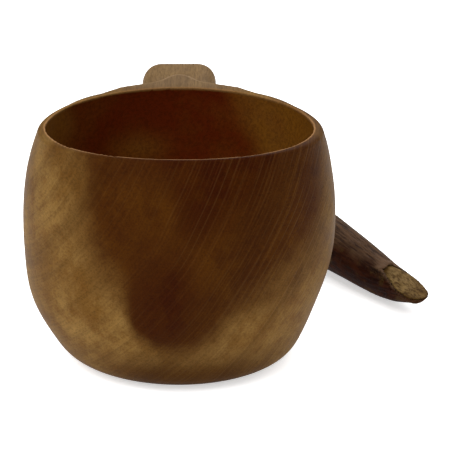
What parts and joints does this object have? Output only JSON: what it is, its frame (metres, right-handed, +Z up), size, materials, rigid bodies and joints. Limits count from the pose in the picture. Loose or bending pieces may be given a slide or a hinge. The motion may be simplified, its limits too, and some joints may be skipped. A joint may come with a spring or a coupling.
{
  "type": "carved wooden cup",
  "caption": "Round-bellied carved wooden drinking cup with a ring handle for the finger, a flat thumb rest and a bark-covered toggle on a leather lace.",
  "frame": {"origin": "centre of the base's flat face, on the surface that the cup stands on", "axes": "+Z up along the bowl's axis, +Y along the handle away from the bowl, +X to the right as seen from the front with the handle behind"},
  "size_m": [0.13, 0.1552, 0.0735],
  "materials": {
    "cup_wood": "oiled, satin",
    "lace_leather": "worn, matte",
    "toggle_wood": "knife-cut, matte",
    "bark": "smooth bark, satin"
  },
  "bodies": {
    "cup": {"cup": "cup_wood", "lace_loop": "lace_leather", "loop_knot": "lace_leather"},
    "lace": {"lace_strand": "lace_leather", "toggle_knot": "lace_leather"},
    "toggle": {"toggle_core": "toggle_wood", "toggle_bark": "bark"}
  },
  "joints": [
    {"name": "lace_sweep", "type": "hinge", "parent": "cup", "child": "lace", "pos_m": [0, 0.098, 0.034], "axis": [0, 0, 1], "range_deg": [-10, 165]},
    {"name": "toggle_turn", "type": "hinge", "parent": "lace", "child": "toggle", "pos_m": [0.0472, 0.0858, 0.01], "axis": [0, 0, 1], "range_deg": [-15, 150]}
  ]
}
